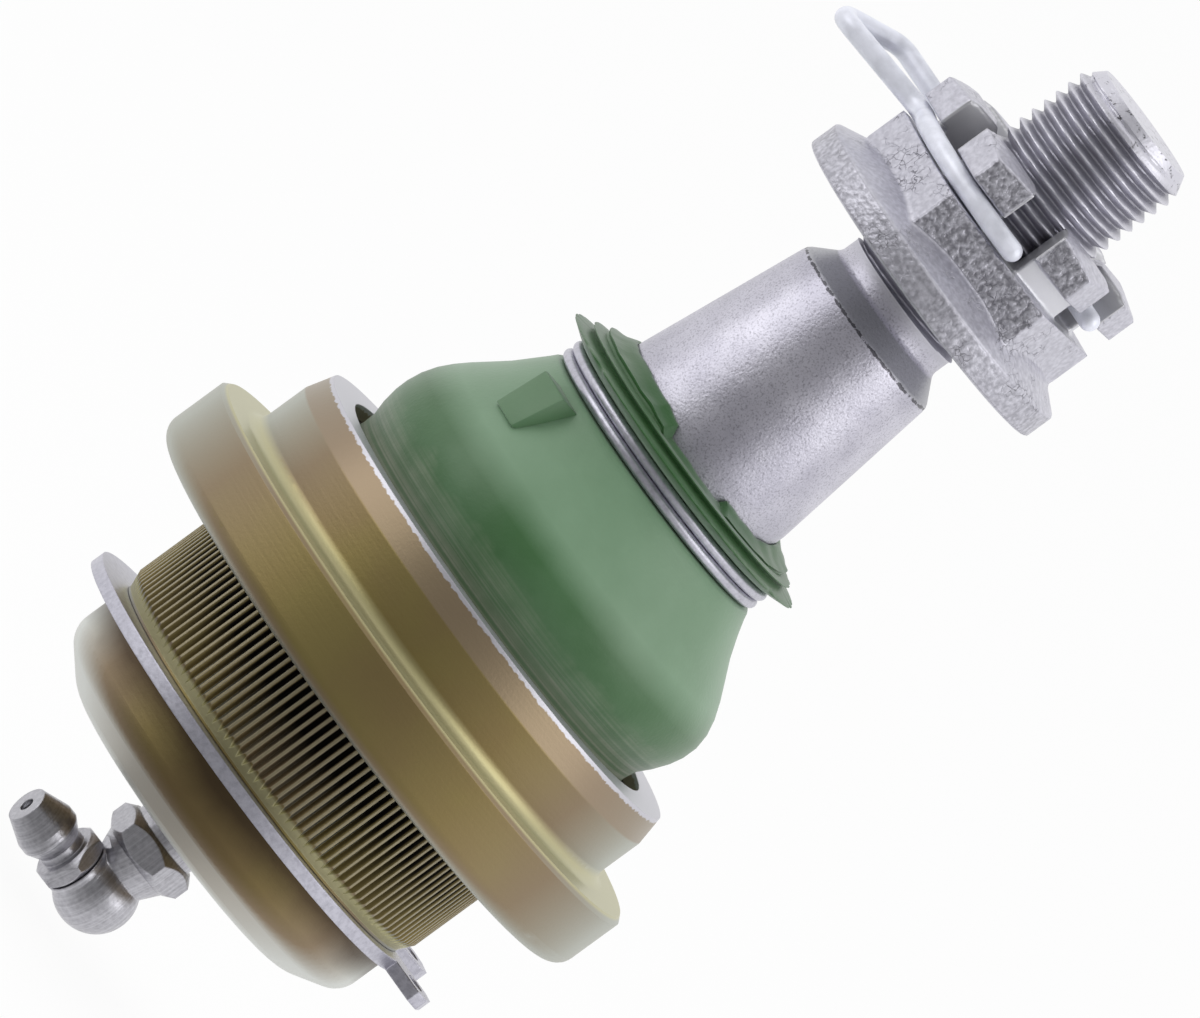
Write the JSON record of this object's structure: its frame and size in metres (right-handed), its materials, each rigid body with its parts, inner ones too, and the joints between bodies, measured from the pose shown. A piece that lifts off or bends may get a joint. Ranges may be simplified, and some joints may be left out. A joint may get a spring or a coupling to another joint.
{
  "type": "suspension ball joint",
  "caption": "Press-in suspension ball joint: knurled flanged housing, sealed stud with taper and thread, rubber boot, castle nut with locking clip, retaining ring and angled grease fitting.",
  "frame": {"origin": "on the housing's axis, on the underside of the flange that seats on the suspension arm", "axes": "+Z along the stud to its threaded end; the grease nipple points to -X and a little to -Y"},
  "size_m": [0.0674, 0.0674, 0.1356],
  "materials": {
    "passivated_steel": "satin",
    "spring_steel": "satin",
    "zinc_flake_steel": "satin",
    "forged_nut_steel": "satin",
    "clip_wire_steel": "satin",
    "fitting_steel": "satin",
    "valve_steel": "satin",
    "inner_steel": "satin",
    "bearing_plastic": "matt",
    "green_rubber": "satin"
  },
  "bodies": {
    "housing": {"housing": "passivated_steel", "retaining_ring": "spring_steel", "pressure_plate": "inner_steel", "preload_spring": "inner_steel", "closing_ring": "inner_steel", "boot_base_ring": "inner_steel", "dust_boot": "green_rubber", "grease_elbow": "fitting_steel", "grease_nipple": "fitting_steel", "valve_spring": "valve_steel"},
    "bearing_seat": {"lower_bearing": "bearing_plastic", "upper_bearing": "bearing_plastic"},
    "boot_top": {"boot_clamp_ring": "spring_steel"},
    "stud": {"ball_stud": "zinc_flake_steel", "castle_nut": "forged_nut_steel", "lock_pin": "clip_wire_steel"},
    "valve": {"valve_ball": "valve_steel"}
  },
  "joints": [
    {"name": "seat_turn", "type": "hinge", "parent": "housing", "child": "bearing_seat", "pos_m": [0, 0, 0.0015], "axis": [0, 0, 1], "continuous": true},
    {"name": "stud_tilt", "type": "hinge", "parent": "bearing_seat", "child": "boot_top", "pos_m": [0, 0, 0.0015], "axis": [1, 0, 0], "range_deg": [-22, 22], "deforming": ["dust_boot"]},
    {"name": "stud_spin", "type": "hinge", "parent": "boot_top", "child": "stud", "pos_m": [0, 0, 0.0015], "axis": [0, 0, 1], "continuous": true},
    {"name": "valve_lift", "type": "slide", "parent": "housing", "child": "valve", "axis": [0.9135, 0.4067, 0], "range_m": [0, 0.001], "stiffness_N_per_m": 800, "springref_m": -0.0005, "deforming": ["valve_spring"]}
  ]
}
